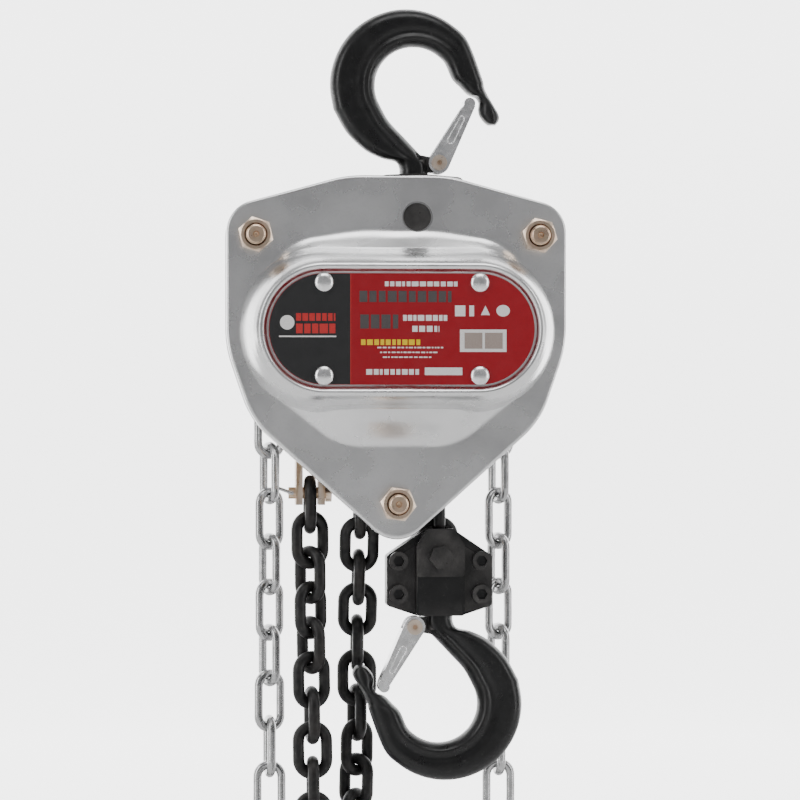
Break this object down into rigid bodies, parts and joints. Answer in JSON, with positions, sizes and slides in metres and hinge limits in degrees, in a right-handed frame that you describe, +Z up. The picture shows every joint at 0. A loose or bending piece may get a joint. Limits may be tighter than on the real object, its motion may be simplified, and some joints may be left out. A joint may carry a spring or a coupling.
{
  "type": "chain hoist",
  "caption": "Hand chain hoist: swivelling top and load hooks with latches, pressed gear cover, load chain and endless hand chain.",
  "frame": {"origin": "saddle of the top hook, the point the hoist hangs from, in the hook's mid-plane", "axes": "+Z up; -Y towards the gear cover's label; +X to the right seen from the label side"},
  "size_m": [0.173, 0.1385, 0.4764],
  "materials": {
    "black_forging": "black enamel over forged steel",
    "black_casting": "black enamel over stamped steel",
    "black_chain": "blackened alloy steel chain",
    "black_fastener": "black oxide steel",
    "pressed_steel": "polished zinc-plated pressed sheet",
    "plate_steel": "plated steel plate",
    "yellow_zinc": "yellow passivated zinc",
    "bright_zinc": "bright zinc plate",
    "spring_steel": "bare spring steel",
    "machined_steel": "machined steel, lightly oiled",
    "cast_wheel": "zinc-plated cast wheel",
    "bush_bronze": "sintered bronze",
    "friction_lining": "pressed brake lining",
    "label": "printed aluminium plate"
  },
  "bodies": {
    "hanger": {"top_hook": "black_forging", "top_hook_collar": "black_fastener", "top_latch_pin": "yellow_zinc", "top_latch_spring": "spring_steel"},
    "top_latch": {"top_latch": "bright_zinc"},
    "top_yoke": {"top_yoke_front": "black_casting", "top_yoke_rear": "black_casting", "top_yoke_rivets": "black_fastener"},
    "frame": {"gear_side_plate": "plate_steel", "wheel_side_plate": "plate_steel", "stay_bolts": "yellow_zinc", "stay_nuts": "yellow_zinc", "stay_spacers": "plate_steel", "gear_cover": "pressed_steel", "label_plate": "label", "label_screws": "bright_zinc", "hand_wheel_cover": "pressed_steel", "top_pin": "black_fastener", "top_pin_clip": "spring_steel", "disc_gear_bushes": "bush_bronze", "sheave_bearings": "machined_steel", "guide_roller_pins": "yellow_zinc", "chain_stripper": "yellow_zinc", "stripper_pin": "yellow_zinc", "anchor_hanger_pin": "yellow_zinc", "chain_anchor": "yellow_zinc", "anchor_pin": "yellow_zinc", "anchor_split_pin": "bright_zinc", "pawl_pin": "machined_steel", "pawl_spring": "spring_steel", "ratchet_disc": "machined_steel", "friction_disc_inner": "friction_lining", "friction_disc_outer": "friction_lining", "hand_chain": "bright_zinc", "load_chain": "black_chain"},
    "drive": {"drive_shaft": "machined_steel", "brake_seat": "machined_steel", "hand_wheel": "cast_wheel", "shaft_nut": "machined_steel", "shaft_split_pin": "spring_steel"},
    "disc_gear_left": {"disc_gear_left": "machined_steel"},
    "disc_gear_right": {"disc_gear_right": "machined_steel"},
    "sheave": {"load_sheave": "machined_steel", "load_gear": "machined_steel", "load_gear_clip": "spring_steel"},
    "guide_roller_left": {"guide_roller_left": "machined_steel"},
    "guide_roller_right": {"guide_roller_right": "machined_steel"},
    "pawl": {"pawl": "machined_steel"},
    "load_block": {"load_chain_fall": "black_chain", "bottom_yoke_front": "black_casting", "bottom_yoke_rear": "black_casting", "yoke_screws": "black_fastener", "yoke_nuts": "black_fastener", "chain_bolt": "black_fastener", "chain_bolt_nut": "black_fastener"},
    "load_hook": {"bottom_hook": "black_forging", "bottom_hook_collar": "black_fastener", "bottom_latch_pin": "yellow_zinc", "bottom_latch_spring": "spring_steel"},
    "bottom_latch": {"bottom_latch": "bright_zinc"}
  },
  "joints": [
    {"name": "top_hook_swivel", "type": "hinge", "parent": "hanger", "child": "top_yoke", "pos_m": [0, 0, -0.0655], "axis": [0, 0, 1], "continuous": true},
    {"name": "frame_swing", "type": "hinge", "parent": "top_yoke", "child": "frame", "pos_m": [0, 0, -0.088], "axis": [0, 1, 0], "range_deg": [0, 12]},
    {"name": "top_latch_open", "type": "hinge", "parent": "hanger", "child": "top_latch", "pos_m": [0.0126, 0, -0.0595], "axis": [0, 1, 0], "range_deg": [-45, 0], "stiffness_Nm_per_rad": 0.02, "springref_deg": 22.92, "deforming": ["top_latch_spring"]},
    {"name": "hand_wheel_turn", "type": "hinge", "parent": "frame", "child": "drive", "pos_m": [-0.0103, 0, -0.1475], "axis": [0, 1, 0], "range_deg": [0, 900], "deforming": ["hand_chain", "load_chain"]},
    {"name": "disc_gear_left_turn", "type": "hinge", "parent": "frame", "child": "disc_gear_left", "pos_m": [-0.0463, 0, -0.1475], "axis": [0, 1, 0], "range_deg": [-181, 1]},
    {"name": "disc_gear_right_turn", "type": "hinge", "parent": "frame", "child": "disc_gear_right", "pos_m": [0.0257, 0, -0.1475], "axis": [0, 1, 0], "range_deg": [-181, 1]},
    {"name": "load_sheave_turn", "type": "hinge", "parent": "frame", "child": "sheave", "pos_m": [-0.0103, 0, -0.1475], "axis": [0, 1, 0], "range_deg": [-0.5, 90.5]},
    {"name": "load_lower", "type": "slide", "parent": "frame", "child": "load_block", "axis": [0, 0, -1], "range_m": [-0.0001, 0.0361]},
    {"name": "guide_roller_left_spin", "type": "hinge", "parent": "frame", "child": "guide_roller_left", "pos_m": [-0.0528, 0, -0.1595], "axis": [0, 1, 0], "continuous": true},
    {"name": "guide_roller_right_spin", "type": "hinge", "parent": "frame", "child": "guide_roller_right", "pos_m": [0.0322, 0, -0.1595], "axis": [0, 1, 0], "continuous": true},
    {"name": "pawl_lift", "type": "hinge", "parent": "frame", "child": "pawl", "pos_m": [-0.0573, 0, -0.1395], "axis": [0, 1, 0], "range_deg": [0, 12], "stiffness_Nm_per_rad": 0.02, "springref_deg": -22.92, "deforming": ["pawl_spring"]},
    {"name": "load_hook_swivel", "type": "hinge", "parent": "load_block", "child": "load_hook", "pos_m": [0.01267, 0, -0.291], "axis": [0, 0, 1], "continuous": true},
    {"name": "bottom_latch_open", "type": "hinge", "parent": "load_hook", "child": "bottom_latch", "pos_m": [0.00007, 0, -0.297], "axis": [0, 1, 0], "range_deg": [-45, 0], "stiffness_Nm_per_rad": 0.02, "springref_deg": 22.92, "deforming": ["bottom_latch_spring"]}
  ],
  "couplings": [
    {"joint": "disc_gear_left_turn", "follows": "hand_wheel_turn", "ratio": -0.2},
    {"joint": "disc_gear_right_turn", "follows": "hand_wheel_turn", "ratio": -0.2},
    {"joint": "load_sheave_turn", "follows": "hand_wheel_turn", "ratio": 0.1},
    {"joint": "load_lower", "follows": "hand_wheel_turn", "m_per_rad": 0.0022918}
  ]
}
